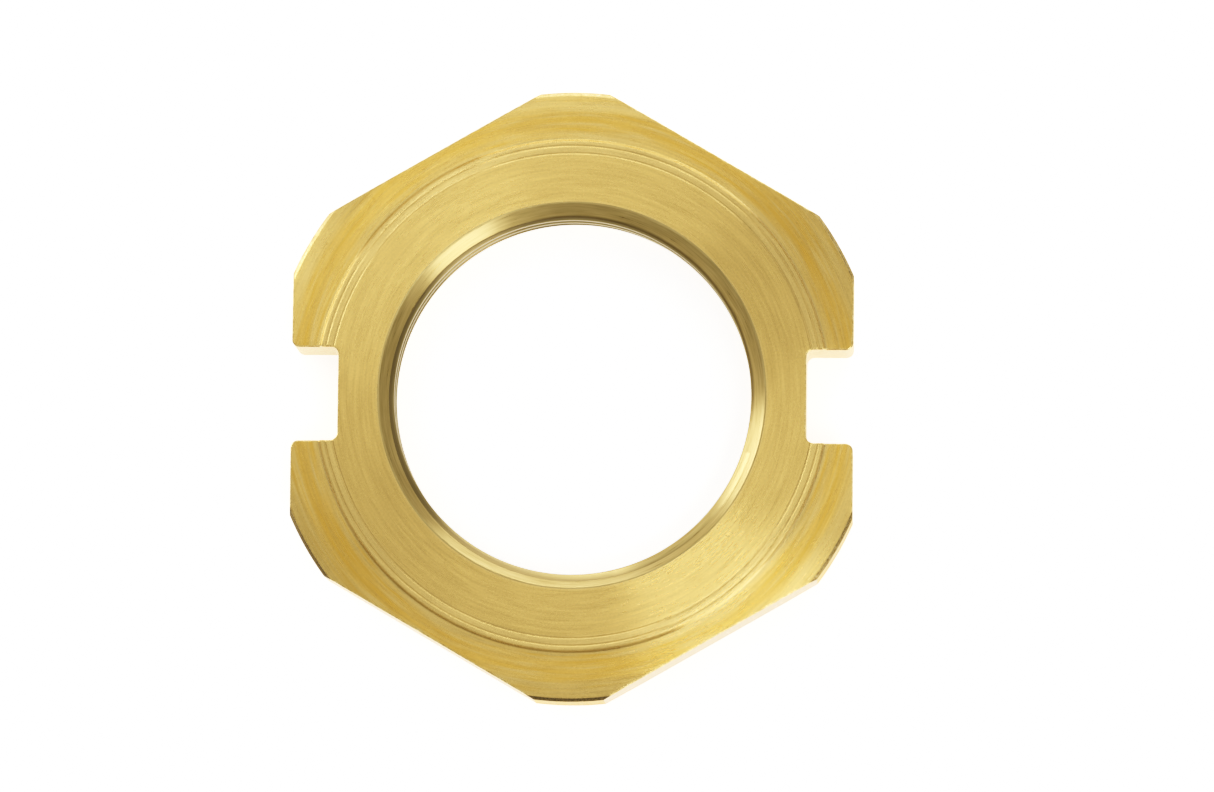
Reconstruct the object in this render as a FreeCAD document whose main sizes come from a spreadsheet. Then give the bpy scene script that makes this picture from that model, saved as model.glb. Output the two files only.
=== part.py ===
import FreeCAD, Part
import math
import os
import Sketcher

# Slotted hexagon lock nut, M20 x 1, 30 mm across flats.
#
# The nut lies flat on its plain face. +Z is the thread's axis and points out
# of the washer face, the origin is the bore's centre on the plain face, the
# two spanner slots open to -X and +X, and a corner points to +Y and to -Y.
# Everything is in millimetres.

V = FreeCAD.Vector

doc = FreeCAD.newDocument("SlottedHexNut")

# ---------------------------------------------------------------- dimensions
sheet = doc.addObject("Spreadsheet::Sheet", "Dimensions")
ROWS = [
    ("across_flats", 30.0, "hexagon, flat to flat"),
    ("corner_dia", 32.7, "circle that the corners are turned to"),
    ("nut_height", 4.0, "plain face to washer face"),
    ("washer_dia", 27.3, "edge of the raised washer face"),
    ("washer_step", 0.20, "height of the washer face's step"),
    ("washer_slope", 0.12, "run-out of the step at its foot"),
    ("bevel_dia", 30.6, "where the corner bevel starts"),
    ("bevel_fall", 0.14, "drop of the corner bevel, washer side"),
    ("corner_break", 0.15, "edge break on the turned corners"),
    ("plain_bevel_run", 0.80, "corner bevel of the plain face, radial"),
    ("plain_bevel_fall", 0.35, "corner bevel of the plain face, axial"),
    ("line_one_dia", 26.0, "inner fine turning line on the washer face"),
    ("line_two_dia", 26.80, "outer fine turning line on the washer face"),
    ("line_width", 0.12, "width of a turning line"),
    ("line_depth", 0.03, "depth of a turning line"),
    ("minor_dia", 19.10, "bore, the thread's minor diameter"),
    ("major_dia", 20.0, "thread's major diameter"),
    ("thread_pitch", 1.0, "thread's pitch"),
    ("root_flat", 0.125, "flat at the thread's root"),
    ("thread_start", -0.20, "groove's height on the +X side where it starts"),
    ("sink_dia", 20.60, "countersink at the washer face"),
    ("sink_depth", 0.75, "its depth"),
    ("plain_sink_dia", 20.54, "countersink at the plain face"),
    ("plain_sink_depth", 0.72, "its depth"),
    ("slot_width", 5.0, "spanner slot"),
    ("slot_gap", 25.0, "slot floor to slot floor"),
    ("slot_floor_rad", 0.40, "slot's inner corners"),
    ("slot_mouth_rad", 0.40, "slot's outer corners"),
]
for row, (name, value, note) in enumerate(ROWS, start=1):
    sheet.set("A%d" % row, name)
    sheet.set("B%d" % row, repr(value))
    sheet.setAlias("B%d" % row, name)
    sheet.set("C%d" % row, note)
doc.recompute()


def dim(name):
    return float(sheet.get(name))


# ------------------------------------------------------------------- helpers
def plane(body, role):
    for feature in body.Origin.OriginFeatures:
        if feature.Role == role:
            return feature
    raise RuntimeError("no origin feature " + role)


def new_sketch(body, name, role):
    sketch = body.newObject("Sketcher::SketchObject", name)
    sketch.AttachmentSupport = [(plane(body, role), "")]
    sketch.MapMode = "FlatFace"
    return sketch


def polygon(sketch, points):
    """A closed chain of lines. Returns the index of the first line."""
    first = sketch.GeometryCount
    count = len(points)
    for i in range(count):
        a, b = points[i], points[(i + 1) % count]
        sketch.addGeometry(Part.LineSegment(V(a[0], a[1], 0), V(b[0], b[1], 0)), False)
    for i in range(count):
        sketch.addConstraint(Sketcher.Constraint(
            "Coincident", first + i, 2, first + (i + 1) % count, 1))
    return first


def place(sketch, line, x_expr, y_expr, x_now, y_now, tag):
    """Dimension a line's start point from the origin, bound to the sheet."""
    if x_expr is not None:
        i = sketch.addConstraint(Sketcher.Constraint("DistanceX", -1, 1, line, 1, x_now))
        sketch.renameConstraint(i, tag + "_x")
        sketch.setExpression("Constraints." + tag + "_x", x_expr)
    if y_expr is not None:
        i = sketch.addConstraint(Sketcher.Constraint("DistanceY", -1, 1, line, 1, y_now))
        sketch.renameConstraint(i, tag + "_y")
        sketch.setExpression("Constraints." + tag + "_y", y_expr)


def profile(sketch, rows):
    """A closed polygon whose corners (x, z) are all bound to the sheet.

    Each row is (x expression, x now, z expression, z now, name)."""
    first = polygon(sketch, [(r[1], r[3]) for r in rows])
    for i, (xe, xn, ze, zn, tag) in enumerate(rows):
        place(sketch, first + i, xe, ze, xn, zn, tag)


def settle(feature, what, before, sign):
    """Recompute and make sure that the feature did what it should."""
    doc.recompute()
    bad = [s for s in feature.State if s in ("Invalid", "Error")]
    if bad or feature.Shape.isNull():
        raise RuntimeError("%s failed: %s" % (what, feature.State))
    now = feature.Shape.Volume
    if sign < 0 and not now < before - 1e-6:
        raise RuntimeError("%s removed nothing" % what)
    if sign > 0 and not now > before + 1e-6:
        raise RuntimeError("%s added nothing" % what)
    print("%-16s volume %10.4f" % (what, now))
    return now


def edges_where(shape, test):
    names = []
    for i, edge in enumerate(shape.Edges, start=1):
        if test(edge):
            names.append("Edge%d" % i)
    return names


D = "Dimensions."

# ----------------------------------------------------------------------- nut
body = doc.addObject("PartDesign::Body", "Nut")
body.Label = "slotted_hex_nut"
body.Placement = FreeCAD.Placement()
doc.recompute()

# Hexagon with a corner on +Y and on -Y and a flat on +X and on -X.
hex_sketch = new_sketch(body, "HexSection", "XY_Plane")
af = dim("across_flats")
rad = af / math.sqrt(3.0)
corners = [(rad * math.cos(math.radians(a)), rad * math.sin(math.radians(a)))
           for a in (90, 150, 210, 270, 330, 30)]
h0 = polygon(hex_sketch, corners)
hex_sketch.addGeometry(Part.Circle(V(0, 0, 0), V(0, 0, 1), rad), True)
ring = h0 + 6
hex_sketch.addConstraint(Sketcher.Constraint("Coincident", ring, 3, -1, 1))
for i in range(6):
    hex_sketch.addConstraint(Sketcher.Constraint("PointOnObject", h0 + i, 1, ring))
for i in range(5):
    hex_sketch.addConstraint(Sketcher.Constraint("Equal", h0 + i, h0 + i + 1))
hex_sketch.addConstraint(Sketcher.Constraint("PointOnObject", h0, 1, -2))
c = hex_sketch.addConstraint(Sketcher.Constraint("DistanceX", -1, 1, h0 + 5, 1, af / 2))
hex_sketch.renameConstraint(c, "half_flats")
hex_sketch.setExpression("Constraints.half_flats", D + "across_flats / 2")

blank = body.newObject("PartDesign::Pad", "Blank")
blank.Profile = hex_sketch
blank.setExpression("Length", D + "nut_height")
vol = settle(blank, "Blank", 0.0, 1)

# Turning: corners to a circle, the step around the washer face down to the flat
# hex shoulder, and the corner bevels on both faces.
T = dim("nut_height")
rw = dim("washer_dia") / 2
rb = dim("bevel_dia") / 2
rc = dim("corner_dia") / 2
st, sl = dim("washer_step"), dim("washer_slope")
bf = dim("bevel_fall")
cb = dim("corner_break")
pr, pf = dim("plain_bevel_run"), dim("plain_bevel_fall")
turn_sketch = new_sketch(body, "TurnedOutline", "XZ_Plane")
profile(turn_sketch, [
    (D + "washer_dia / 2", rw, D + "nut_height + 1", T + 1, "above_edge"),
    (D + "washer_dia / 2", rw, D + "nut_height", T, "washer_edge"),
    (D + "washer_dia / 2 + " + D + "washer_slope", rw + sl,
     D + "nut_height - " + D + "washer_step", T - st, "step_foot"),
    (D + "bevel_dia / 2", rb,
     D + "nut_height - " + D + "washer_step", T - st, "bevel_start"),
    (D + "corner_dia / 2 - " + D + "corner_break", rc - cb,
     D + "nut_height - " + D + "washer_step - " + D + "bevel_fall",
     T - st - bf, "bevel_end"),
    (D + "corner_dia / 2", rc,
     D + "nut_height - " + D + "washer_step - " + D + "bevel_fall - " + D + "corner_break",
     T - st - bf - cb, "corner_top"),
    (D + "corner_dia / 2", rc, D + "plain_bevel_fall", pf, "corner_foot"),
    (D + "corner_dia / 2 - " + D + "plain_bevel_run", rc - pr, "0", 0.0, "plain_start"),
    (D + "corner_dia / 2 - " + D + "plain_bevel_run", rc - pr, "-1", -1.0, "plain_below"),
    (D + "corner_dia / 2 + 4", rc + 4, "-1", -1.0, "outer_below"),
    (D + "corner_dia / 2 + 4", rc + 4, D + "nut_height + 1", T + 1, "outer_above"),
])
turned = body.newObject("PartDesign::Groove", "Turned")
turned.Profile = turn_sketch
turned.ReferenceAxis = (turn_sketch, ["V_Axis"])
turned.Angle = 360.0
vol = settle(turned, "Turned", vol, -1)

# Two fine turning lines near the washer face's edge, each a shallow V.
lw, ld = dim("line_width"), dim("line_depth")
line_sketch = new_sketch(body, "TurningLines", "XZ_Plane")
for key in ("line_one", "line_two"):
    r0 = dim(key + "_dia") / 2
    k = D + key + "_dia / 2"
    profile(line_sketch, [
        (k + " - " + D + "line_width", r0 - lw,
         D + "nut_height + " + D + "line_depth", T + ld, key + "_in"),
        (k, r0, D + "nut_height - " + D + "line_depth", T - ld, key + "_low"),
        (k + " + " + D + "line_width", r0 + lw,
         D + "nut_height + " + D + "line_depth", T + ld, key + "_out"),
    ])
lines = body.newObject("PartDesign::Groove", "Lines")
lines.Profile = line_sketch
lines.ReferenceAxis = (line_sketch, ["V_Axis"])
lines.Angle = 360.0
vol = settle(lines, "Lines", vol, -1)

# Spanner slots in the -X and +X flats, right through. Their floor corners are
# filleted and their mouths are rounded into the flats.
sw, sg = dim("slot_width") / 2, dim("slot_gap") / 2
ri, ro = dim("slot_floor_rad"), dim("slot_mouth_rad")


def arc(sketch, x, y, radius, start_deg):
    circle = Part.Circle(V(x, y, 0), V(0, 0, 1), radius)
    a0 = math.radians(start_deg)
    return sketch.addGeometry(Part.ArcOfCircle(circle, a0, a0 + math.pi / 2), False)


def line(sketch, x0, y0, x1, y1):
    return sketch.addGeometry(Part.LineSegment(V(x0, y0, 0), V(x1, y1, 0)), False)


def bind(sketch, tag, kind, *args, expr):
    i = sketch.addConstraint(Sketcher.Constraint(kind, *args))
    sketch.renameConstraint(i, tag)
    sketch.setExpression("Constraints." + tag, expr)


def slot_outline(sketch, side, sign):
    """One slot, drawn for +X and turned half way round for -X."""
    k = sign
    turn = 0 if sign > 0 else 180
    far = rc + 1
    xm = af / 2 - ro
    floor = line(sketch, k * sg, -k * (sw - ri), k * sg, k * (sw - ri))
    fillet_b = arc(sketch, k * (sg + ri), k * (sw - ri), ri, 90 + turn)
    wall_b = line(sketch, k * (sg + ri), k * sw, k * xm, k * sw)
    mouth_b = arc(sketch, k * xm, k * (sw + ro), ro, 270 + turn)
    out_b = line(sketch, k * af / 2, k * (sw + ro), k * far, k * (sw + ro))
    back = line(sketch, k * far, k * (sw + ro), k * far, -k * (sw + ro))
    out_a = line(sketch, k * far, -k * (sw + ro), k * af / 2, -k * (sw + ro))
    mouth_a = arc(sketch, k * xm, -k * (sw + ro), ro, 0 + turn)
    wall_a = line(sketch, k * xm, -k * sw, k * (sg + ri), -k * sw)
    fillet_a = arc(sketch, k * (sg + ri), -k * (sw - ri), ri, 180 + turn)
    C = Sketcher.Constraint
    for con in (
            C("Tangent", floor, 2, fillet_b, 2), C("Tangent", fillet_b, 1, wall_b, 1),
            C("Tangent", wall_b, 2, mouth_b, 1), C("Coincident", mouth_b, 2, out_b, 1),
            C("Coincident", out_b, 2, back, 1), C("Coincident", back, 2, out_a, 1),
            C("Coincident", out_a, 2, mouth_a, 1), C("Tangent", mouth_a, 2, wall_a, 1),
            C("Tangent", wall_a, 2, fillet_a, 2), C("Tangent", fillet_a, 1, floor, 1),
            C("Vertical", floor), C("Vertical", back),
            C("Horizontal", wall_a), C("Horizontal", wall_b),
            C("Horizontal", out_a), C("Horizontal", out_b),
            C("Horizontal", mouth_a, 3, mouth_a, 1), C("Horizontal", mouth_b, 3, mouth_b, 2),
            C("Equal", fillet_a, fillet_b), C("Equal", mouth_a, mouth_b)):
        sketch.addConstraint(con)
    minus = "" if sign > 0 else "-"
    plus = "-" if sign > 0 else ""
    bind(sketch, side + "_floor_rad", "Radius", fillet_a, ri, expr=D + "slot_floor_rad")
    bind(sketch, side + "_mouth_rad", "Radius", mouth_a, ro, expr=D + "slot_mouth_rad")
    bind(sketch, side + "_floor_x", "DistanceX", -1, 1, floor, 1, k * sg,
         expr=minus + D + "slot_gap / 2")
    bind(sketch, side + "_mouth_x", "DistanceX", -1, 1, out_b, 1, k * af / 2,
         expr=minus + D + "across_flats / 2")
    bind(sketch, side + "_far_x", "DistanceX", -1, 1, back, 1, k * far,
         expr=minus + "(" + D + "corner_dia / 2 + 1)")
    bind(sketch, side + "_wall_b", "DistanceY", -1, 1, wall_b, 1, k * sw,
         expr=minus + D + "slot_width / 2")
    bind(sketch, side + "_wall_a", "DistanceY", -1, 1, wall_a, 1, -k * sw,
         expr=plus + D + "slot_width / 2")


slot_sketch = new_sketch(body, "SpannerSlots", "XY_Plane")
slot_outline(slot_sketch, "right", 1)
slot_outline(slot_sketch, "left", -1)
slots = body.newObject("PartDesign::Pocket", "Slots")
slots.Profile = slot_sketch
slots.Type = "ThroughAll"
slots.Reversed = True
vol = settle(slots, "Slots", vol, -1)

# Bore at the minor diameter, then a countersink at each face.
bore_sketch = new_sketch(body, "BoreSection", "XY_Plane")
bore_sketch.addGeometry(Part.Circle(V(0, 0, 0), V(0, 0, 1), dim("minor_dia") / 2), False)
bore_sketch.addConstraint(Sketcher.Constraint("Coincident", 0, 3, -1, 1))
c = bore_sketch.addConstraint(Sketcher.Constraint("Diameter", 0, dim("minor_dia")))
bore_sketch.renameConstraint(c, "bore_dia")
bore_sketch.setExpression("Constraints.bore_dia", D + "minor_dia")
bore = body.newObject("PartDesign::Pocket", "Bore")
bore.Profile = bore_sketch
bore.Type = "ThroughAll"
bore.Reversed = True
vol = settle(bore, "Bore", vol, -1)

sink_sketch = new_sketch(body, "Countersinks", "XZ_Plane")
rm = dim("minor_dia") / 2
rs, ds = dim("sink_dia") / 2, dim("sink_depth")
rp, dp = dim("plain_sink_dia") / 2, dim("plain_sink_depth")
profile(sink_sketch, [
    (D + "minor_dia / 2 - 1", rm - 1, D + "nut_height", T, "top_axis"),
    (D + "minor_dia / 2 - 1", rm - 1, D + "nut_height - " + D + "sink_depth", T - ds, "top_deep"),
    (D + "minor_dia / 2", rm, D + "nut_height - " + D + "sink_depth", T - ds, "top_foot"),
    (D + "sink_dia / 2", rs, D + "nut_height", T, "top_mouth"),
])
profile(sink_sketch, [
    (D + "minor_dia / 2 - 1", rm - 1, "0", 0.0, "low_axis"),
    (D + "plain_sink_dia / 2", rp, "0", 0.0, "low_mouth"),
    (D + "minor_dia / 2", rm, D + "plain_sink_depth", dp, "low_foot"),
    (D + "minor_dia / 2 - 1", rm - 1, D + "plain_sink_depth", dp, "low_deep"),
])
sinks = body.newObject("PartDesign::Groove", "Sinks")
sinks.Profile = sink_sketch
sinks.ReferenceAxis = (sink_sketch, ["V_Axis"])
sinks.Angle = 360.0
vol = settle(sinks, "Sinks", vol, -1)

# Internal thread: a 60 degree groove along a right-hand helix. It starts below
# the plain face and ends above the washer face, so it runs out through both
# countersinks. The lands left between its turns are the minor diameter.
p = dim("thread_pitch")
rM = dim("major_dia") / 2
rf = dim("root_flat")
over = 0.30                         # how far the cutter starts inside the bore
half_root = rf / 2
half_mouth = half_root + (rM - (rm - over)) * math.tan(math.radians(30))
base_z = dim("thread_start")
thread_sketch = new_sketch(body, "ThreadSection", "XZ_Plane")
mid = D + "thread_start"
flat = D + "root_flat / 2"
reach = ("(" + D + "root_flat / 2 + (" + D + "major_dia / 2 - " + D
         + "minor_dia / 2 + 0.3) * tan(30 deg))")
profile(thread_sketch, [
    (D + "minor_dia / 2 - 0.3", rm - over, mid + " - " + reach, base_z - half_mouth, "mouth_low"),
    (D + "major_dia / 2", rM, mid + " - " + flat, base_z - half_root, "root_low"),
    (D + "major_dia / 2", rM, mid + " + " + flat, base_z + half_root, "root_high"),
    (D + "minor_dia / 2 - 0.3", rm - over, mid + " + " + reach, base_z + half_mouth, "mouth_high"),
])
doc.recompute()
thread = body.newObject("PartDesign::SubtractiveHelix", "Thread")
thread.Profile = thread_sketch
thread.ReferenceAxis = (thread_sketch, ["V_Axis"])
thread.Mode = 0                     # pitch and height
thread.setExpression("Pitch", D + "thread_pitch")
thread.setExpression("Height", D + "nut_height + " + D + "thread_pitch")
thread.Angle = 0.0
thread.LeftHanded = False
thread.Reversed = False
vol = settle(thread, "Thread", vol, -1)

body.Tip = thread
doc.recompute()

# --------------------------------------------------------------------- write
for obj in doc.Objects:
    bad = [s for s in obj.State if s in ("Invalid", "Error")]
    if bad:
        raise RuntimeError("%s is %s" % (obj.Name, bad))

os.makedirs("parts", exist_ok=True)
for sub in [body]:
    shape = sub.Shape
    if shape.isNull() or not shape.isValid():
        raise RuntimeError(sub.Label + " has no valid shape")
    if len(shape.Solids) != 1:
        raise RuntimeError("%s has %d solids" % (sub.Label, len(shape.Solids)))
    shape.exportStep("parts/" + sub.Label + ".step")
    box = shape.BoundBox
    print("%s  x %.3f..%.3f  y %.3f..%.3f  z %.3f..%.3f  volume %.2f mm3  faces %d" % (
        sub.Label, box.XMin, box.XMax, box.YMin, box.YMax, box.ZMin, box.ZMax,
        shape.Volume, len(shape.Faces)))
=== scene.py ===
import math
import bpy
import bmesh
import numpy as np
from mathutils import Vector, Matrix
from mathutils.geometry import delaunay_2d_cdt


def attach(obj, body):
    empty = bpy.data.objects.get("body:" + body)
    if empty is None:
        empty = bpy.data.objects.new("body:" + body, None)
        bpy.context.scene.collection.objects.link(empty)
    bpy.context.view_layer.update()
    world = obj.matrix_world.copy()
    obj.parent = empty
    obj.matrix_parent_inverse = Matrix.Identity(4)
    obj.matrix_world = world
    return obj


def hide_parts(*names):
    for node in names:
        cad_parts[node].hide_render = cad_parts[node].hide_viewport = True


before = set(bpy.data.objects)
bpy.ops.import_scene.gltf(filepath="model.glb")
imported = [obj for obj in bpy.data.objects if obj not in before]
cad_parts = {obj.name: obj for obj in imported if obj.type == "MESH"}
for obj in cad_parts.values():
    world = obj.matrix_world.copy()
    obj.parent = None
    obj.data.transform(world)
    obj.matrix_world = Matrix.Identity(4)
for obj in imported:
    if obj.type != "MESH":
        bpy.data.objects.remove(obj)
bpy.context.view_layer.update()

NODE = "slotted_hex_nut"
MM = 0.001

# --------------------------------------------------------------------------
# Profile of the nut, in millimetres
# --------------------------------------------------------------------------
HEIGHT = 4.0
APOTHEM = 15.0            # half the size across flats
CORNER_R = 16.35          # the corners are turned to this radius
SLOT_X = 12.5             # slot floor
SLOT_Y = 2.5              # half the slot width
SLOT_R = 0.4              # floor and mouth radii of the slots
BORE_R = 9.55
THREAD_R = 10.0
PITCH = 1.0
THREAD_START = -0.20
N_RING = 720

# washer face: radius, height. Two turned lines, then the step with a softened
# lip and foot, the shoulder, the corner bevel and the corner break
TOP = [
    (10.385, 4.000), (10.60, 4.000), (11.40, 4.000), (12.20, 4.000),
    (12.900, 4.000), (12.935, 3.997), (12.985, 3.970), (13.015, 3.970),
    (13.065, 3.997), (13.100, 4.000), (13.300, 4.000), (13.335, 3.997),
    (13.385, 3.970), (13.415, 3.970), (13.465, 3.997), (13.500, 4.000),
    (13.570, 4.000), (13.612, 3.995), (13.642, 3.983), (13.664, 3.963),
    (13.738, 3.846), (13.760, 3.822), (13.792, 3.806), (13.840, 3.800),
    (14.60, 3.800), (15.18, 3.800),
    (15.30, 3.795), (15.42, 3.781), (16.11, 3.672), (16.145, 3.660),
    (16.175, 3.638), (16.35, 3.463),
]
PLAIN = [(10.345, 0.0), (11.6, 0.0), (13.6, 0.0), (15.40, 0.0),
         (15.55, 0.012), (15.70, 0.066), (16.35, 0.35)]
# bore without its thread, from the washer face down to the plain face
BORE = [(10.352, 3.998), (10.322, 3.991), (10.292, 3.976), (10.262, 3.951),
        (9.585, 3.274), (9.562, 3.246), (9.550, 3.212),
        (9.550, 0.760), (9.562, 0.726), (9.585, 0.697),
        (10.225, 0.040), (10.262, 0.013), (10.300, 0.003)]

top_r = [p[0] for p in TOP]
top_z = [p[1] for p in TOP]
plain_r = [p[0] for p in PLAIN]
plain_z = [p[1] for p in PLAIN]


def h_top(r):
    return float(np.interp(r, top_r, top_z))


def h_plain(r):
    return float(np.interp(r, plain_r, plain_z))


# --------------------------------------------------------------------------
# Outline: the turned hexagon with its two spanner slots, as a function of a
# running number and of how far the edge is drawn in
# --------------------------------------------------------------------------
def line(a, b):
    def f(t, e):
        (ax, ay), (bx, by) = a(e), b(e)
        return (ax + (bx - ax) * t, ay + (by - ay) * t)
    return f


def arc(c, rad, a0, a1):
    def f(t, e):
        a = a0(e) + (a1(e) - a0(e)) * t
        return (c[0] + rad(e) * math.cos(a), c[1] + rad(e) * math.sin(a))
    return f


def alpha(e):
    return math.acos((APOTHEM - e) / (CORNER_R - e))


def corner_point(base, sign):
    def f(e):
        a = base + sign * alpha(e)
        return ((CORNER_R - e) * math.cos(a), (CORNER_R - e) * math.sin(a))
    return f


FY = SLOT_Y - SLOT_R
FX = SLOT_X + SLOT_R
MX = APOTHEM - SLOT_R
MY = SLOT_Y + SLOT_R
D60 = math.radians(60.0)

half_slot = [
    (10, line(lambda e: (SLOT_X - e, 0.0), lambda e: (SLOT_X - e, FY))),
    (9, arc((FX, FY), lambda e: SLOT_R + e, lambda e: math.pi, lambda e: math.pi / 2)),
    (9, line(lambda e: (FX, SLOT_Y + e), lambda e: (MX, SLOT_Y + e))),
    (9, arc((MX, MY), lambda e: SLOT_R - e, lambda e: -math.pi / 2, lambda e: 0.0)),
    (18, line(lambda e: (APOTHEM - e, MY), corner_point(0.0, 1))),
]


def mirrored(fn):
    def f(t, e):
        x, y = fn(1.0 - t, e)
        return (-x, y)
    return f


def turned(fn):
    def f(t, e):
        x, y = fn(t, e)
        return (-x, -y)
    return f


upper = list(half_slot)
for k in range(3):
    base = k * D60
    upper.append((22, arc((0.0, 0.0), lambda e: CORNER_R - e,
                          (lambda b: lambda e: b + alpha(e))(base),
                          (lambda b: lambda e: b + D60 - alpha(e))(base))))
    if k < 2:
        upper.append((60, line(corner_point(base + D60, -1), corner_point(base + D60, 1))))
upper += [(n, mirrored(f)) for n, f in reversed(half_slot)]
PRIMS = upper + [(n, turned(f)) for n, f in upper]


def outline(s, e):
    i = int(s)
    t = s - i
    i = i % len(PRIMS)
    return PRIMS[i][1](t, e)


# smooth, repeatable unevenness along the edges
def value_noise(x, seed):
    def hsh(i):
        v = math.sin(i * 127.1 + seed * 311.7) * 43758.5453
        return v - math.floor(v)
    i = math.floor(x)
    f = x - i
    f = f * f * (3 - 2 * f)
    return hsh(i) * (1 - f) + hsh(i + 1) * f


cum = [0.0]
for i, (n, f) in enumerate(PRIMS):
    pts = [f(k / 12.0, 0.0) for k in range(13)]
    cum.append(cum[-1] + sum(math.dist(pts[k], pts[k + 1]) for k in range(12)))


def run(s):
    i = int(s)
    return cum[i] + (cum[i + 1] - cum[i]) * (s - i)


def fade(s):
    """0 at both ends of the running number, so the noise closes on itself."""
    u = min(run(s), cum[-1] - run(s))
    return min(1.0, u / 0.6)


def cornerness(s):
    """1 on a turned corner, falling to 0 within 0.4 mm along the flats."""
    i = int(s) % len(PRIMS)
    if PRIMS[i][0] == 22:
        return 1.0
    w = 0.0
    if PRIMS[(i + 1) % len(PRIMS)][0] == 22:
        w = max(w, 1.0 - (cum[i + 1] - run(s)) / 0.4)
    if PRIMS[i - 1][0] == 22:
        w = max(w, 1.0 - (run(s) - cum[i]) / 0.4)
    return max(0.0, min(1.0, w))


def inset_top(s):
    x = run(s)
    n = 0.55 * value_noise(x / 0.9, 1) + 0.45 * value_noise(x / 0.27, 2)
    nick = max(0.0, value_noise(x / 0.42, 3) - 0.80) / 0.20
    e = 0.060 + fade(s) * (0.035 * n + 0.050 * nick ** 2)
    w = cornerness(s)
    return e * (1.0 - w) + (0.020 + fade(s) * 0.008 * n) * w


def inset_plain(s):
    x = run(s)
    n = 0.6 * value_noise(x / 0.8, 4) + 0.4 * value_noise(x / 0.25, 5)
    return 0.050 + fade(s) * 0.035 * n


samples = []
for i, (n, f) in enumerate(PRIMS):
    samples += [i + k / n for k in range(n)]


def crossings(radii, inset):
    found = []
    total = len(PRIMS)
    for j in range(len(samples)):
        s0 = samples[j]
        s1 = samples[j + 1] if j + 1 < len(samples) else float(total) - 1e-9
        p0 = outline(s0, inset(s0))
        p1 = outline(s1, inset(s1))
        r0, r1 = math.hypot(*p0), math.hypot(*p1)
        for rad in radii:
            if (r0 - rad) * (r1 - rad) < 0.0:
                a, b, fa = s0, s1, r0 - rad
                for _ in range(50):
                    m = 0.5 * (a + b)
                    fm = math.hypot(*outline(m, inset(m))) - rad
                    if fa * fm <= 0.0:
                        b = m
                    else:
                        a, fa = m, fm
                found.append((0.5 * (a + b), rad))
    return found


R_OUT_T = 16.25
ring_t = [r for r in top_r if r < R_OUT_T]
ring_p = [r for r in plain_r if r < R_OUT_T]
cross_t = crossings(ring_t, inset_top)
cross_p = crossings(ring_p, inset_plain)
keep = [s for s in samples]
extra = sorted(set([c[0] for c in cross_t] + [c[0] for c in cross_p]))
fixed = set(float(i) for i in range(len(PRIMS)))
for s in extra:
    x = run(s)
    # a plain sample that is very near a crossing gives way to it
    keep = [k for k in keep if k in fixed or abs(run(k) - x) > 0.03]
S = sorted(set(keep + extra))
NS = len(S)

bm = bmesh.new()
M_TURNED, M_FLAT, M_SLOT, M_BORE, M_EDGE, M_PLAIN = range(6)


def add_vert(x, y, z):
    return bm.verts.new((x, y, z))


def point_in_poly(px, py, poly):
    x, y = poly[:, 0], poly[:, 1]
    x2, y2 = np.roll(x, -1), np.roll(y, -1)
    cond = (y > py) != (y2 > py)
    with np.errstate(divide="ignore", invalid="ignore"):
        xi = (x2 - x) * (py - y) / (y2 - y) + x
    return int(np.count_nonzero(cond & (px < xi))) % 2 == 1


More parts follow.
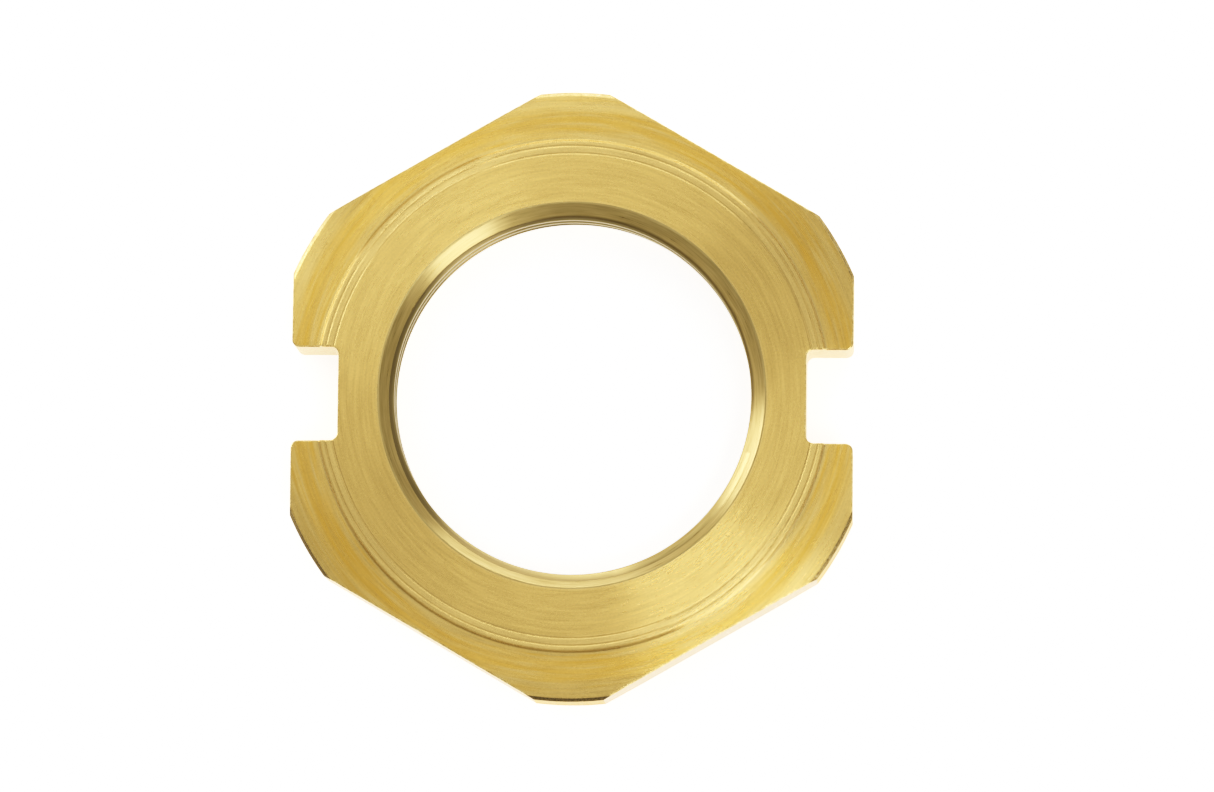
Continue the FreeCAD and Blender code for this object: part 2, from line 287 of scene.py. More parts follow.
def face_with_rings(rings, inset, height, cross, r_in, up, material):
    """Triangulated face between the bore ring and the drawn-in outline, with
    every profile radius as a line of edges."""
    border = [outline(s, inset(s)) for s in S]
    coords = [Vector(p) for p in border]
    edges = [(i, (i + 1) % NS) for i in range(NS)]
    kinds = {i: ("border", i) for i in range(NS)}
    poly = np.array(border)
    index_of = {s: i for i, s in enumerate(S)}
    inner = []
    for rad in rings:
        ends = [(math.atan2(border[index_of[s]][1], border[index_of[s]][0]) % (2 * math.pi),
                 index_of[s]) for s, r in cross if r == rad]
        if not ends:
            first = len(coords)
            for k in range(N_RING):
                a = 2 * math.pi * k / N_RING
                coords.append(Vector((rad * math.cos(a), rad * math.sin(a))))
                edges.append((first + k, first + (k + 1) % N_RING))
            if rad == r_in:
                inner = list(range(first, first + N_RING))
            continue
        ends.sort()
        for j in range(len(ends)):
            a0, i0 = ends[j]
            a1, i1 = ends[(j + 1) % len(ends)]
            if a1 <= a0:
                a1 += 2 * math.pi
            am = 0.5 * (a0 + a1)
            if not point_in_poly(rad * math.cos(am), rad * math.sin(am), poly):
                continue
            n = max(1, int(round((a1 - a0) / (2 * math.pi) * N_RING)))
            prev = i0
            for k in range(1, n):
                a = a0 + (a1 - a0) * k / n
                coords.append(Vector((rad * math.cos(a), rad * math.sin(a))))
                edges.append((prev, len(coords) - 1))
                prev = len(coords) - 1
            edges.append((prev, i1))
    out = delaunay_2d_cdt(coords, edges, [], 0, 1e-7)
    vco, _, faces, orig = out[0], out[1], out[2], out[3]
    verts = [None] * len(vco)
    border_v = [None] * NS
    ring_v = {}
    tri = []
    used = set()
    for f in faces:
        cx = sum(vco[i][0] for i in f) / len(f)
        cy = sum(vco[i][1] for i in f) / len(f)
        if math.hypot(cx, cy) < r_in or not point_in_poly(cx, cy, poly):
            continue
        tri.append(f)
        used.update(f)
    for i in used:
        x, y = vco[i]
        verts[i] = add_vert(x, y, height(math.hypot(x, y)))
    missing = 0
    for i in used:
        for o in orig[i]:
            if o < NS:
                border_v[o] = verts[i]
            elif inner and inner[0] <= o <= inner[-1]:
                ring_v[o - inner[0]] = verts[i]
    missing = sum(1 for v in border_v if v is None)
    if missing or len(ring_v) != N_RING:
        raise RuntimeError("face of the nut did not close: %d %d" % (missing, len(ring_v)))
    for f in tri:
        loop = [verts[i] for i in f]
        mid = sum(math.hypot(v.co.x, v.co.y) for v in loop) / 3.0
        a, b, c = (v.co for v in loop[:3])
        if ((b - a).cross(c - a).z > 0) != up:
            loop.reverse()
        face = bm.faces.new(loop)
        face.material_index = M_EDGE if up and mid > 16.18 else material
    return border_v, [ring_v[k] for k in range(N_RING)]


top_border, top_ring = face_with_rings(ring_t, inset_top, h_top, cross_t, top_r[0], True, M_TURNED)
low_border, low_ring = face_with_rings(ring_p, inset_plain, h_plain, cross_p, plain_r[0], False, M_PLAIN)

# side walls: rounded top edge, straight wall, rounded bottom edge
K = 6
cols = []
for j, s in enumerate(S):
    et, ep = inset_top(s), inset_plain(s)
    zt, zp = top_border[j].co.z, low_border[j].co.z
    col = [top_border[j]]
    for k in range(1, K + 1):
        a = math.pi / 2 * k / K
        x, y = outline(s, et * (1 - math.sin(a)))
        col.append(add_vert(x, y, zt - et * (1 - math.cos(a))))
    x, y = outline(s, 0.0)
    for k in range(K, 0, -1):
        a = math.pi / 2 * k / K
        x, y = outline(s, ep * (1 - math.sin(a)))
        col.append(add_vert(x, y, zp + ep * (1 - math.cos(a))))
    col.append(low_border[j])
    cols.append(col)


def wall_material(s):
    i = int(s) % len(PRIMS)
    i = i % len(upper)
    if i in (0, 1, 2, 3) or i >= len(upper) - 4:
        return M_SLOT
    n = PRIMS[i][0]
    return M_TURNED if n == 22 else M_FLAT


for j in range(NS):
    c0, c1 = cols[j], cols[(j + 1) % NS]
    mat = wall_material(S[j])
    for k in range(len(c0) - 1):
        f = bm.faces.new((c0[k], c0[k + 1], c1[k + 1], c1[k]))
        straight = k == K
        f.material_index = mat if straight else M_EDGE

# bore: plain revolved wall, the thread is cut out of it further down
rings = [top_ring]
for r, z in BORE:
    ring = []
    for k in range(N_RING):
        a = 2 * math.pi * k / N_RING
        ring.append(add_vert(r * math.cos(a), r * math.sin(a), z))
    rings.append(ring)
rings.append(low_ring)
for i in range(len(rings) - 1):
    a, b = rings[i], rings[i + 1]
    for k in range(N_RING):
        k2 = (k + 1) % N_RING
        f = bm.faces.new((a[k], a[k2], b[k2], b[k]))
        f.material_index = M_BORE

bmesh.ops.recalc_face_normals(bm, faces=bm.faces)
open_edges = [e for e in bm.edges if len(e.link_faces) != 2]
if open_edges:
    raise RuntimeError("the nut's mesh has %d open edges" % len(open_edges))
if bm.calc_volume(signed=True) < 0:
    bmesh.ops.reverse_faces(bm, faces=bm.faces)
mesh = bpy.data.meshes.new("nut_blank")
bm.to_mesh(mesh)
bm.free()
blank = bpy.data.objects.new("nut_blank", mesh)
bpy.context.scene.collection.objects.link(blank)

# helical cutter: 60 degree groove with a flat root and softened crests
PER_TURN = 240
groove = [(10.0, 0.0625), (9.615, 0.2848), (9.565, 0.318), (9.535, 0.366), (9.30, 0.440)]
section = [(r, -t) for r, t in groove] + [(r, t) for r, t in reversed(groove)]
turn0, turn1 = -0.75, 5.15
steps = int(round((turn1 - turn0) * PER_TURN))
bm = bmesh.new()
loops = []
for i in range(steps + 1):
    turn = turn0 + (turn1 - turn0) * i / steps
    a = 2 * math.pi * turn
    zc = THREAD_START + PITCH * turn
    loops.append([bm.verts.new((r * math.cos(a), r * math.sin(a), zc + t)) for r, t in section])
m = len(section)
for i in range(steps):
    for k in range(m):
        k2 = (k + 1) % m
        bm.faces.new((loops[i][k], loops[i][k2], loops[i + 1][k2], loops[i + 1][k]))
bm.faces.new(list(reversed(loops[0])))
bm.faces.new(loops[-1])
bmesh.ops.recalc_face_normals(bm, faces=bm.faces)
if bm.calc_volume(signed=True) < 0:
    bmesh.ops.reverse_faces(bm, faces=bm.faces)
for f in bm.faces:
    f.material_index = M_BORE
cut_mesh = bpy.data.meshes.new("thread_cutter")
bm.to_mesh(cut_mesh)
bm.free()
cutter = bpy.data.objects.new("thread_cutter", cut_mesh)
bpy.context.scene.collection.objects.link(cutter)


# --------------------------------------------------------------------------
# Materials
# --------------------------------------------------------------------------
class Graph:
    def __init__(self, name):
        self.mat = bpy.data.materials.new(name)
        self.mat.use_nodes = True
        self.tree = self.mat.node_tree
        self.tree.nodes.clear()
        self.out = self.add("ShaderNodeOutputMaterial")
        self.bsdf = self.add("ShaderNodeBsdfPrincipled")
        self.link(self.bsdf.outputs["BSDF"], self.out.inputs["Surface"])
        tc = self.add("ShaderNodeTexCoord")
        self.p = self.vmath("MULTIPLY", tc.outputs["Object"], (1000.0, 1000.0, 1000.0))
        sep = self.add("ShaderNodeSeparateXYZ")
        self.link(self.p, sep.inputs[0])
        self.x, self.y, self.z = sep.outputs
        flat = self.add("ShaderNodeCombineXYZ")
        self.link(self.x, flat.inputs[0])
        self.link(self.y, flat.inputs[1])
        self.r = self.vmath("LENGTH", flat.outputs[0], out="Value")
        unit = self.vmath("NORMALIZE", flat.outputs[0])
        sep2 = self.add("ShaderNodeSeparateXYZ")
        self.link(unit, sep2.inputs[0])
        self.c, self.s = sep2.outputs[0], sep2.outputs[1]

    def add(self, kind):
        return self.tree.nodes.new(kind)

    def link(self, a, b):
        self.tree.links.new(a, b)

    def put(self, value, socket):
        if isinstance(value, bpy.types.NodeSocket):
            self.link(value, socket)
        else:
            socket.default_value = value

    def vmath(self, op, a, b=None, out="Vector"):
        n = self.add("ShaderNodeVectorMath")
        n.operation = op
        self.put(a, n.inputs[0])
        if b is not None:
            self.put(b, n.inputs[1])
        return n.outputs[out]

    def math(self, op, a, b=None, c=None, clamp=False):
        n = self.add("ShaderNodeMath")
        n.operation = op
        n.use_clamp = clamp
        self.put(a, n.inputs[0])
        if b is not None:
            self.put(b, n.inputs[1])
        if c is not None:
            self.put(c, n.inputs[2])
        return n.outputs[0]

    def vec(self, x, y, z):
        n = self.add("ShaderNodeCombineXYZ")
        self.put(x, n.inputs[0])
        self.put(y, n.inputs[1])
        self.put(z, n.inputs[2])
        return n.outputs[0]

    def noise(self, vector, scale=1.0, detail=2.0, rough=0.5):
        n = self.add("ShaderNodeTexNoise")
        n.noise_dimensions = "3D"
        self.link(vector, n.inputs["Vector"])
        n.inputs["Scale"].default_value = scale
        n.inputs["Detail"].default_value = detail
        n.inputs["Roughness"].default_value = rough
        return n.outputs["Fac"]

    def ramp(self, fac, stops, interp="LINEAR"):
        n = self.add("ShaderNodeValToRGB")
        n.color_ramp.interpolation = interp
        el = n.color_ramp.elements
        while len(el) > 1:
            el.remove(el[-1])
        el[0].position = stops[0][0]
        el[0].color = stops[0][1] if len(stops[0][1]) == 4 else (*stops[0][1], 1.0)
        for pos, col in stops[1:]:
            e = el.new(pos)
            e.color = col if len(col) == 4 else (*col, 1.0)
        self.link(fac, n.inputs["Fac"])
        return n.outputs["Color"]

    def mix(self, fac, a, b, blend="MIX"):
        n = self.add("ShaderNodeMix")
        n.data_type = "RGBA"
        n.blend_type = blend
        self.put(fac, n.inputs["Factor"])
        ins = [i for i in n.inputs if i.type == "RGBA"]
        for value, socket in ((a, ins[0]), (b, ins[1])):
            if isinstance(value, bpy.types.NodeSocket):
                self.link(value, socket)
            else:
                socket.default_value = (*value, 1.0)
        return [o for o in n.outputs if o.type == "RGBA"][0]

    def remap(self, v, a0, a1, b0, b1, smooth=False):
        n = self.add("ShaderNodeMapRange")
        n.interpolation_type = "SMOOTHSTEP" if smooth else "LINEAR"
        self.put(v, n.inputs[0])
        for i, val in enumerate((a0, a1, b0, b1)):
            n.inputs[i + 1].default_value = val
        return n.outputs[0]

    def scale_color(self, color, value):
        """colour times a number."""
        return self.mix(1.0, color, self.vec(value, value, value), blend="MULTIPLY")

    def ring(self, centre, width):
        """1 on a circle of the turned face, falling to 0 at width from it."""
        d = self.math("ABSOLUTE", self.math("SUBTRACT", self.r, centre))
        return self.remap(d, 0.0, width, 1.0, 0.0, smooth=True)

    def bump(self, height, distance, strength=1.0, normal=None):
        n = self.add("ShaderNodeBump")
        n.inputs["Distance"].default_value = distance
        n.inputs["Strength"].default_value = strength
        self.link(height, n.inputs["Height"])
        if normal is not None:
            self.link(normal, n.inputs["Normal"])
        return n.outputs["Normal"]

    def tangent(self, rotation, amount):
        n = self.add("ShaderNodeTangent")
        n.direction_type = "RADIAL"
        n.axis = "Z"
        self.link(n.outputs[0], self.bsdf.inputs["Tangent"])
        self.bsdf.inputs["Anisotropic"].default_value = amount
        self.bsdf.inputs["Anisotropic Rotation"].default_value = rotation

    def finish(self, color, roughness, normal):
        self.bsdf.inputs["Metallic"].default_value = 1.0
        self.put(color, self.bsdf.inputs["Base Color"])
        self.put(roughness, self.bsdf.inputs["Roughness"])
        if normal is not None:
            self.link(normal, self.bsdf.inputs["Normal"])
        return self.mat


def corner_painted_shade(g):
    """0 to 1: painted shade on the lip left by the corner turning, on the front and right corners only.
    """
    front = g.math("ADD", g.math("MULTIPLY", g.c, -0.34), g.math("MULTIPLY", g.s, -0.94))
    side = g.math("MAXIMUM", g.remap(front, 0.30, 0.75, 0.0, 0.95),
                  g.remap(g.c, 0.70, 0.84, 0.0, 0.60))
    lip = g.math("MULTIPLY", g.remap(g.r, 16.16, 16.20, 0.0, 1.0),
                 g.remap(g.z, 3.41, 3.46, 0.0, 1.0))
    return g.math("MULTIPLY", lip, side)


def turned_brass(name, plain=False):
    """Facing cuts: fine concentric marks, a paler washer face, a more golden
    shoulder and paler corners."""
    g = Graph(name)
    fine = g.noise(g.vec(g.math("MULTIPLY", g.r, 13.0), g.math("MULTIPLY", g.c, 17.0),
                         g.math("MULTIPLY", g.s, 17.0)), 1.0, 2.0, 0.5)
    long_ = g.noise(g.vec(g.math("MULTIPLY", g.r, 4.2), g.math("MULTIPLY", g.c, 3.0),
                          g.math("MULTIPLY", g.s, 3.0)), 1.0, 2.0, 0.5)
    grain = g.noise(g.p, 8.5, 2.0, 0.55)
    cloud = g.noise(g.p, 0.45, 2.0, 0.5)
    # zones by radius, their borders a little uneven
    wander = g.math("MULTIPLY", g.math("SUBTRACT", long_, 0.5), 0.55)
    inner = g.remap(g.r, 13.72, 13.90, 0.0, 1.0)
    rr = g.math("ADD", g.r, g.math("MULTIPLY", wander, inner))
    fac = g.math("DIVIDE", g.math("SUBTRACT", rr, 9.0), 8.0)
    at = lambda r: (r - 9.0) / 8.0
    if plain:
        zones = g.ramp(fac, [
            (0.0, (0.78, 0.545, 0.185)), (at(15.4), (0.78, 0.545, 0.185)),
            (at(15.7), (0.80, 0.53, 0.165)), (1.0, (0.80, 0.53, 0.165))])
    else:
        zones = g.ramp(fac, [
            (0.0, (0.80, 0.545, 0.180)),
            (at(12.85), (0.80, 0.545, 0.180)),
            (at(12.98), (0.82, 0.575, 0.205)),
            (at(13.62), (0.82, 0.575, 0.205)),
            (at(13.68), (0.74, 0.530, 0.190)),
            (at(13.78), (0.74, 0.530, 0.190)),
            (at(13.90), (0.80, 0.545, 0.180)),
            (at(14.40), (0.79, 0.505, 0.140)),
            (at(14.85), (0.78, 0.485, 0.120)),
            (at(15.20), (0.80, 0.520, 0.150)),
            (at(15.55), (0.81, 0.555, 0.185)),
            (1.0, (0.80, 0.550, 0.190))])
    arcs = g.noise(g.vec(g.math("MULTIPLY", g.r, 8.0), g.math("MULTIPLY", g.c, 5.0),
                         g.math("MULTIPLY", g.s, 5.0)), 1.0, 2.0, 0.6)
    shade = g.math("ADD", g.math("ADD", g.remap(fine, 0.25, 0.75, -0.05, 0.05),
                                 g.remap(arcs, 0.25, 0.75, -0.10, 0.10)),
                   g.math("ADD", g.remap(long_, 0.3, 0.7, -0.07, 0.07),
                          g.math("ADD", g.remap(grain, 0.3, 0.7, -0.06, 0.06),
                                 g.remap(cloud, 0.3, 0.7, -0.03, 0.03))))
    color = g.scale_color(zones, g.math("ADD", shade, 1.0))
    # the shoulder carries separate golden and pale streaks
    streak = g.noise(g.vec(g.math("MULTIPLY", g.r, 3.6), g.math("MULTIPLY", g.c, 3.2),
                           g.math("MULTIPLY", g.s, 3.2)), 1.0, 3.0, 0.55)
    on_shoulder = g.math("MULTIPLY", inner, g.remap(g.r, 15.2, 15.8, 1.0, 0.45))
    golden = g.math("MULTIPLY", g.remap(streak, 0.52, 0.66, 0.0, 0.75), on_shoulder)
    color = g.mix(golden, color, (0.79, 0.470, 0.095))
    pale = g.math("MULTIPLY", g.remap(streak, 0.46, 0.34, 0.0, 0.6), on_shoulder)
    color = g.mix(pale, color, (0.84, 0.600, 0.225))
    if not plain:
        # painted shade on the corners' lip at the front and right
        color = g.mix(corner_painted_shade(g), color, (0.22, 0.155, 0.065))
        # painted shade on the step's wall over its front arc; elsewhere the wall keeps its brass tint
        front = g.math("ADD", g.math("MULTIPLY", g.c, -0.26), g.math("MULTIPLY", g.s, -0.97))
        painted_shade_front_arc = g.remap(front, 0.62, 0.90, 0.0, 1.0)
        wall = g.ring(13.73, 0.09)
        wall_off_front_arc = g.math("MULTIPLY", wall, g.math("SUBTRACT", 1.0, painted_shade_front_arc))
        color = g.mix(g.math("MULTIPLY", wall_off_front_arc, 0.80), color, (0.74, 0.520, 0.185))
        # painted highlight on the step's wall over its right arc and on the left just below the middle
        painted_highlight_arcs = g.math("MAXIMUM", g.remap(g.c, 0.35, 0.75, 0.0, 0.9),
                        g.math("MULTIPLY", g.remap(g.c, -0.72, -0.84, 0.0, 0.9),
                               g.remap(g.s, 0.02, -0.08, 0.0, 1.0)))
        color = g.mix(g.math("MULTIPLY", wall_off_front_arc, painted_highlight_arcs), color, (0.96, 0.745, 0.340))
        # painted shade on the step's wall over its upper-left arc
        left = g.math("MULTIPLY", g.remap(g.c, -0.62, -0.88, 0.0, 0.75),
                      g.remap(g.s, 0.00, 0.10, 0.0, 1.0))
        color = g.mix(g.math("MULTIPLY", wall_off_front_arc, left), color, (0.50, 0.345, 0.120))
        # painted shade on the step's wall over its front arc
        color = g.mix(g.math("MULTIPLY", g.math("MULTIPLY", wall, painted_shade_front_arc), 0.65), color,
                      (0.50, 0.350, 0.125))
    lip = g.ring(10.42, 0.09)
    color = g.mix(g.math("MULTIPLY", lip, 0.35), color, (0.90, 0.66, 0.26))
    rough = g.math("ADD", g.remap(fine, 0.3, 0.7, 0.255, 0.315),
                   g.remap(cloud, 0.3, 0.7, -0.02, 0.02))
    height = g.math("ADD", g.math("ADD", g.math("MULTIPLY", fine, 0.9),
                                  g.math("MULTIPLY", arcs, 2.4)),
                    g.math("ADD", g.math("MULTIPLY", long_, 1.3),
                           g.math("MULTIPLY", grain, 0.35)))
    # feed marks are lopsided: their long side leans outwards by 3 degrees
    lean_in = g.math("MULTIPLY", g.math("MINIMUM", g.r, 13.70), -34.0)
    lean_out = g.math("MULTIPLY", g.math("MAXIMUM", g.r, 13.70), -20.0)
    height = g.math("ADD", height, g.math("ADD", lean_in, lean_out))
    normal = g.bump(height, 1.6e-6)
    g.tangent(0.25, 1.0)
    return g.finish(color, rough, normal)


def drawn_flat(name):
    """Hexagon flats: drawn lines along the bar, across the plate's thickness."""
    g = Graph(name)
    lines = g.noise(g.vec(g.math("MULTIPLY", g.x, 9.0), g.math("MULTIPLY", g.y, 9.0),
                          g.math("MULTIPLY", g.z, 0.35)), 1.0, 3.0, 0.6)
    spots = g.noise(g.p, 1.4, 3.0, 0.6)
    color = g.ramp(lines, [(0.30, (0.64, 0.430, 0.140)), (0.55, (0.72, 0.500, 0.180)),
                           (0.75, (0.78, 0.565, 0.225))])
    color = g.mix(g.remap(spots, 0.58, 0.72, 0.0, 0.45), color, (0.62, 0.38, 0.12))
    rough = g.remap(lines, 0.3, 0.7, 0.26, 0.38)
    normal = g.bump(g.math("ADD", lines, g.math("MULTIPLY", spots, 0.4)), 4.0e-6)
    g.tangent(0.0, 0.6)
    return g.finish(color, rough, normal)


def milled_slot(name):
    """Slot walls and floor: cutter marks at a slight slant, burnished."""
    g = Graph(name)
    slant = g.math("ADD", g.z, g.math("MULTIPLY", g.math("ADD", g.x, g.y), 0.22))
    marks = g.noise(g.vec(g.math("MULTIPLY", g.math("ADD", g.x, g.y), 1.1),
                          g.math("MULTIPLY", slant, 8.5), 0.0), 1.0, 3.0, 0.6)
    grain = g.noise(g.p, 6.0, 2.0, 0.5)
    color = g.ramp(marks, [(0.30, (0.78, 0.55, 0.20)), (0.70, (0.87, 0.66, 0.29))])
    rough = g.remap(marks, 0.3, 0.7, 0.22, 0.34)
    normal = g.bump(g.math("ADD", marks, g.math("MULTIPLY", grain, 0.3)), 4.0e-6)
    g.tangent(0.25, 0.5)
    return g.finish(color, rough, normal)


def bore_brass(name):
    """Countersinks and thread: cut marks run round the bore."""
    g = Graph(name)
    cut = g.noise(g.vec(g.math("MULTIPLY", g.math("ADD", g.r, g.z), 9.0),
                        g.math("MULTIPLY", g.c, 5.0), g.math("MULTIPLY", g.s, 5.0)),
                  1.0, 3.0, 0.6)
    chatter = g.noise(g.vec(g.math("MULTIPLY", g.c, 14.0), g.math("MULTIPLY", g.s, 14.0),
                            g.math("MULTIPLY", g.z, 0.6)), 1.0, 2.0, 0.5)
    cone = g.ramp(cut, [(0.30, (0.47, 0.345, 0.130)), (0.50, (0.59, 0.440, 0.175)),
                        (0.70, (0.67, 0.510, 0.215))])
    # the bore's straight wall gets a darker brass than its countersinks: painted shade
    wall = g.ramp(cut, [(0.30, (0.40, 0.300, 0.130)), (0.70, (0.48, 0.370, 0.170))])
    painted_shade_bore_wall = g.math("MULTIPLY", g.remap(g.z, 3.22, 3.30, 1.0, 0.0),
                     g.remap(g.z, 0.68, 0.76, 0.0, 1.0))
    color = g.mix(painted_shade_bore_wall, cone, wall)
    # how far a point lies outside the plain bore: 0 on crests, 0.45 at the root
    upper_r = g.math("ADD", g.z, 9.55 - 3.25)
    lower_r = g.math("SUBTRACT", 9.55 + 0.72, g.z)
    plain_bore = g.math("MAXIMUM", g.math("MAXIMUM", upper_r, lower_r), 9.55)
    groove_depth = g.math("SUBTRACT", g.r, plain_bore)
    # the thread's grooves darken towards their roots: painted shade
    color = g.mix(g.remap(groove_depth, 0.02, 0.16, 0.0, 0.75), color, (0.22, 0.160, 0.070))
    # painted shadow on the crest where the countersink runs into the thread's first turn
    start = g.math("ADD", g.math("MULTIPLY", g.c, 0.669), g.math("MULTIPLY", g.s, 0.743))
    painted_shadow_arc = g.math("MULTIPLY", g.remap(start, 0.50, 0.68, 0.0, 0.80),
                      g.remap(g.z, 2.90, 3.00, 0.0, 1.0))
    painted_shadow_crest = g.math("MULTIPLY", painted_shadow_arc, g.ring(9.64, 0.14))
    color = g.mix(painted_shadow_crest, color, (0.15, 0.105, 0.045))
    rough = g.remap(cut, 0.3, 0.7, 0.27, 0.35)
    height = g.math("ADD", cut, g.math("MULTIPLY", chatter, 0.8))
    normal = g.bump(height, 1.5e-6)
    g.tangent(0.25, 0.6)
    return g.finish(color, rough, normal)


def worn_edge_and_painted_shade(name):
    """Broken edges: burnished bright, with small dark nicks, and painted shade on the corners' lip at
    the front and right."""
    g = Graph(name)
    n1 = g.noise(g.p, 3.2, 3.0, 0.6)
    n2 = g.noise(g.p, 9.0, 2.0, 0.5)
    color = g.ramp(n1, [(0.34, (0.60, 0.41, 0.145)), (0.52, (0.76, 0.55, 0.215)),
                        (0.70, (0.88, 0.69, 0.34))])
    # painted shade on the corners' lip at the front and right
    color = g.mix(corner_painted_shade(g), color, (0.20, 0.140, 0.060))
    rough = g.remap(n2, 0.3, 0.7, 0.20, 0.34)
    normal = g.bump(g.math("ADD", n1, g.math("MULTIPLY", n2, 0.5)), 5.0e-6)
    g.tangent(0.25, 0.2)
    return g.finish(color, rough, normal)


MATS = [turned_brass("brass_turned"), drawn_flat("brass_drawn_flat"),
        milled_slot("brass_milled_slot"), bore_brass("brass_bore"),
        worn_edge_and_painted_shade("brass_worn_edge"), turned_brass("brass_turned_plain", plain=True)]
for ob in (blank, cutter):
    for mt in MATS:
        ob.data.materials.append(mt)

cut = blank.modifiers.new("thread", "BOOLEAN")
cut.operation = "DIFFERENCE"
cut.solver = "EXACT"
cut.object = cutter
bpy.context.view_layer.update()
deps = bpy.context.evaluated_depsgraph_get()
nut_mesh = bpy.data.meshes.new_from_object(blank.evaluated_get(deps), depsgraph=deps)
nut_mesh.name = "nut"
bpy.data.objects.remove(blank)
bpy.data.objects.remove(cutter)

bm = bmesh.new()
bm.from_mesh(nut_mesh)
bmesh.ops.remove_doubles(bm, verts=bm.verts, dist=2e-5)
bmesh.ops.dissolve_degenerate(bm, edges=bm.edges, dist=1e-5)
loose = [v for v in bm.verts if not v.link_faces]
bmesh.ops.delete(bm, geom=loose, context="VERTS")
bad = [e for e in bm.edges if len(e.link_faces) != 2]
print("nut mesh:", len(bm.faces), "faces,", len(bad), "edges not shared by two faces, volume",
      round(bm.calc_volume(signed=True), 3), "mm3")
bmesh.ops.triangulate(bm, faces=[f for f in bm.faces if len(f.verts) > 4])
bmesh.ops.scale(bm, vec=(MM, MM, MM), verts=bm.verts)
for f in bm.faces:
    f.smooth = True
bm.to_mesh(nut_mesh)
bm.free()
nut_mesh.set_sharp_from_angle(angle=math.radians(19.0))
nut = bpy.data.objects.new("slotted_hex_nut_finished", nut_mesh)
bpy.context.scene.collection.objects.link(nut)
wn = nut.modifiers.new("flat_faces_stay_flat", "WEIGHTED_NORMAL")
wn.mode = "FACE_AREA_WITH_ANGLE"
wn.keep_sharp = True

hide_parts(NODE)
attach(nut, "root")

# --------------------------------------------------------------------------
# Camera
# --------------------------------------------------------------------------
scene = bpy.context.scene
cam_data = bpy.data.cameras.new("camera")
cam_data.sensor_fit = "HORIZONTAL"
cam_data.sensor_width = 36.0
cam_data.lens = 207.6
cam_data.clip_start = 0.01
cam_data.clip_end = 20.0
cam = bpy.data.objects.new("camera", cam_data)
scene.collection.objects.link(cam)
face = Vector((0.0, 0.0, HEIGHT * MM))
lean = Vector((math.tan(math.radians(2.75)), -math.tan(math.radians(6.3)), 1.0)).normalized()
eye = face + lean * 0.373
ROLL = math.radians(0.62)
aim = face + Vector((1.89, -0.06, 0.0)) * MM
back = (eye - aim).normalized()
right = Vector((0, 1, 0)).cross(back).normalized()
up = back.cross(right).normalized()
c, s = math.cos(ROLL), math.sin(ROLL)
right, up = right * c + up * s, up * c - right * s
cam.matrix_world = Matrix((
    (right.x, up.x, back.x, eye.x),
    (right.y, up.y, back.y, eye.y),
    (right.z, up.z, back.z, eye.z),
    (0, 0, 0, 1)))
scene.camera = cam

# --------------------------------------------------------------------------
# Floor, world and lights
# --------------------------------------------------------------------------
bm = bmesh.new()
centre = bm.verts.new((0, 0, 0))
previous = None
# a sweep: flat for 4 m all round, then rising a little so that it ends above the horizon
for rad, rise in ((1.0, 0.0), (4.0, 0.0), (5.0, 0.012), (5.5, 0.035), (5.8, 0.070), (6.0, 0.120)):
    rim = [bm.verts.new((rad * math.cos(2 * math.pi * k / 96),
                         rad * math.sin(2 * math.pi * k / 96), rise)) for k in range(96)]
    for k in range(96):
        k2 = (k + 1) % 96
        if previous is None:
            bm.faces.new((centre, rim[k], rim[k2]))
        else:
            bm.faces.new((previous[k], rim[k], rim[k2], previous[k2]))
    previous = rim
for f in bm.faces:
    f.smooth = True
floor_mesh = bpy.data.meshes.new("floor")
bm.to_mesh(floor_mesh)
bm.free()
floor = bpy.data.objects.new("floor", floor_mesh)
scene.collection.objects.link(floor)
fm = bpy.data.materials.new("floor_white")
fm.use_nodes = True
fb = fm.node_tree.nodes["Principled BSDF"]
fb.inputs["Base Color"].default_value = (0.90, 0.90, 0.90, 1.0)
fb.inputs["Roughness"].default_value = 0.9
fb.inputs["Specular IOR Level"].default_value = 0.1
fb.inputs["Emission Color"].default_value = (1.0, 1.0, 1.0, 1.0)
fb.inputs["Emission Strength"].default_value = 1.0
floor_mesh.materials.append(fm)

world = bpy.data.worlds.new("studio")
scene.world = world
world.use_nodes = True
wt = world.node_tree
bg = wt.nodes["Background"]
# a pale room, brightest overhead
w_tc = wt.nodes.new("ShaderNodeTexCoord")
w_sep = wt.nodes.new("ShaderNodeSeparateXYZ")
w_ramp = wt.nodes.new("ShaderNodeValToRGB")
wt.links.new(w_tc.outputs["Generated"], w_sep.inputs[0])
wt.links.new(w_sep.outputs[2], w_ramp.inputs["Fac"])
wt.links.new(w_ramp.outputs["Color"], bg.inputs["Color"])
ROOM, OVERHEAD = 0.35, 0.99
w_ramp.color_ramp.interpolation = "B_SPLINE"
w_ramp.color_ramp.elements[0].position = 0.90
w_ramp.color_ramp.elements[0].color = (ROOM, ROOM, ROOM, 1.0)
w_ramp.color_ramp.elements[1].position = 1.0
w_ramp.color_ramp.elements[1].color = (OVERHEAD, OVERHEAD, OVERHEAD, 1.0)
bg.inputs["Strength"].default_value = 1.0


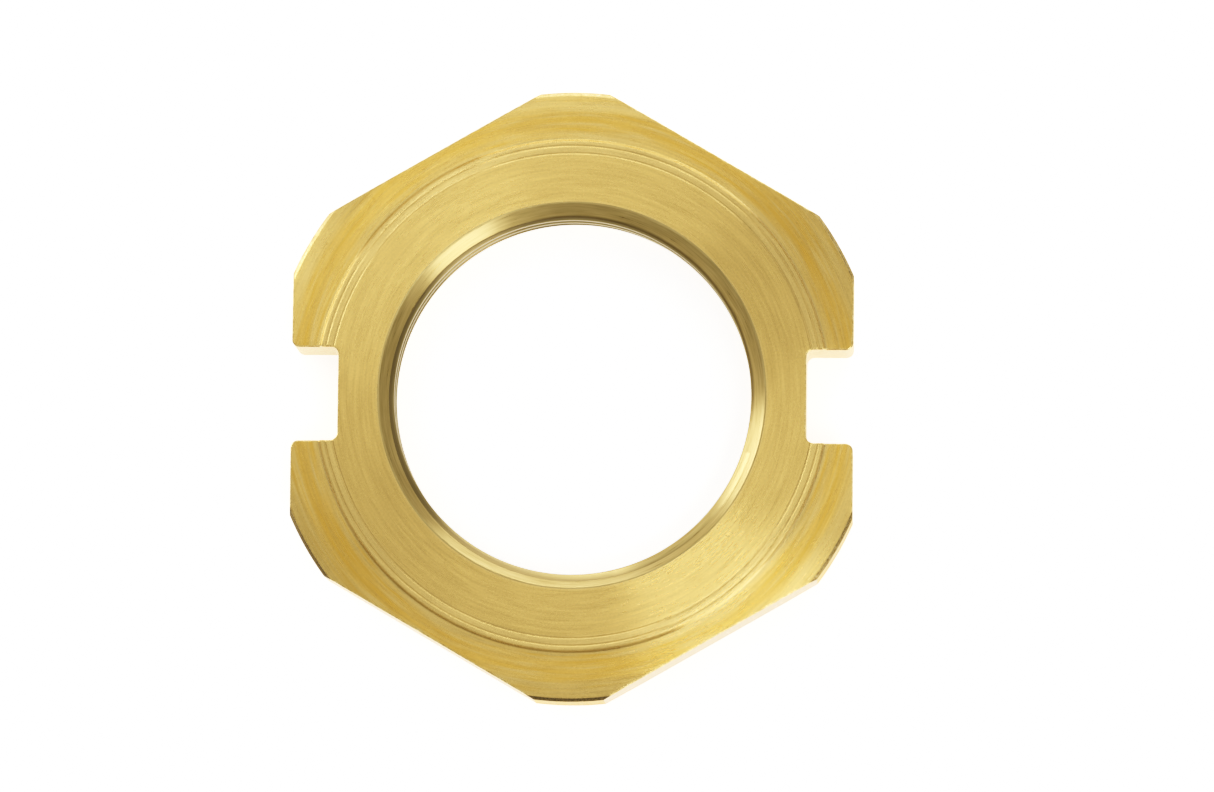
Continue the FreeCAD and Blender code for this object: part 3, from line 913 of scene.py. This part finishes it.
def softbox(name, az, el, dist, size, radiance, size_y=None):
    """Soft light at an azimuth (0 = +X, counter-clockwise) and elevation."""
    data = bpy.data.lights.new(name, "AREA")
    data.shape = "RECTANGLE" if size_y else "SQUARE"
    data.size = size
    if size_y:
        data.size_y = size_y
    area = size * (size_y or size)
    data.energy = radiance * math.pi * area * math.pi / math.pi
    ob = bpy.data.objects.new(name, data)
    a, e = math.radians(az), math.radians(el)
    d = Vector((math.cos(e) * math.cos(a), math.cos(e) * math.sin(a), math.sin(e)))
    side = Vector((-math.sin(a), math.cos(a), 0.0))
    rise = d.cross(side)
    ob.matrix_world = Matrix((
        (side.x, rise.x, d.x, d.x * dist),
        (side.y, rise.y, d.y, d.y * dist),
        (side.z, rise.z, d.z, d.z * dist + 0.002),
        (0, 0, 0, 1)))
    ob.visible_camera = False
    scene.collection.objects.link(ob)
    return ob


# name, azimuth, elevation, distance, width, height, radiance
LIGHTS = [
    ("key_right_front", 310.0, 68.0, 1.0, 0.34, 0.12, 7.8),
    ("broad_left_back", 125.0, 60.0, 1.0, 0.80, 0.70, 0.36),
    ("right", 349.0, 62.0, 1.0, 0.50, 0.40, 0.70),
    ("back", 90.0, 60.0, 1.0, 0.50, 0.40, 0.33),
    ("back_low", 82.0, 16.0, 1.0, 1.05, 0.42, 3.2),
    ("left_back_low", 156.0, 14.0, 1.0, 0.48, 0.44, 4.85),
    ("right_front_low", 308.5, 15.0, 1.0, 0.44, 0.45, 3.6),
    ("right_front_fill", 308.0, 15.0, 1.06, 1.10, 0.46, 0.35),
    ("left_back_fill", 124.0, 15.0, 1.06, 0.60, 0.44, 0.78),
    ("right_mid", 30.0, 45.0, 1.0, 0.70, 0.60, 0.34),
    ("left_mid", 200.0, 45.0, 1.0, 0.70, 0.60, 0.18),
    ("front_mid", 250.0, 45.0, 1.0, 0.70, 0.60, 0.29),
]
for name, az, el, dist, sx, sy, radiance in LIGHTS:
    softbox("light_" + name, az, el, dist, sx, radiance, sy)

# --------------------------------------------------------------------------
# Tone
# --------------------------------------------------------------------------
view = scene.view_settings
view.view_transform = "Standard"
view.look = "None"
view.exposure = 0.0
view.gamma = 1.0
# camera-like response: a soft toe and a soft shoulder, white at about 1.6
view.use_curve_mapping = True
curves = view.curve_mapping
WHITE = 4.0
curves.white_level = (WHITE, WHITE, WHITE)
curve = curves.curves[3]
for k in range(1, 48):
    u = (k / 48.0) ** 1.6
    v = (u * WHITE) ** 1.45
    curve.points.new(u, min(1.0, 1.3 * v / (v + 0.5935)))
curve.points[0].location = (0.0, 0.0)
curve.points[-1].location = (1.0, 1.0)
curves.update()
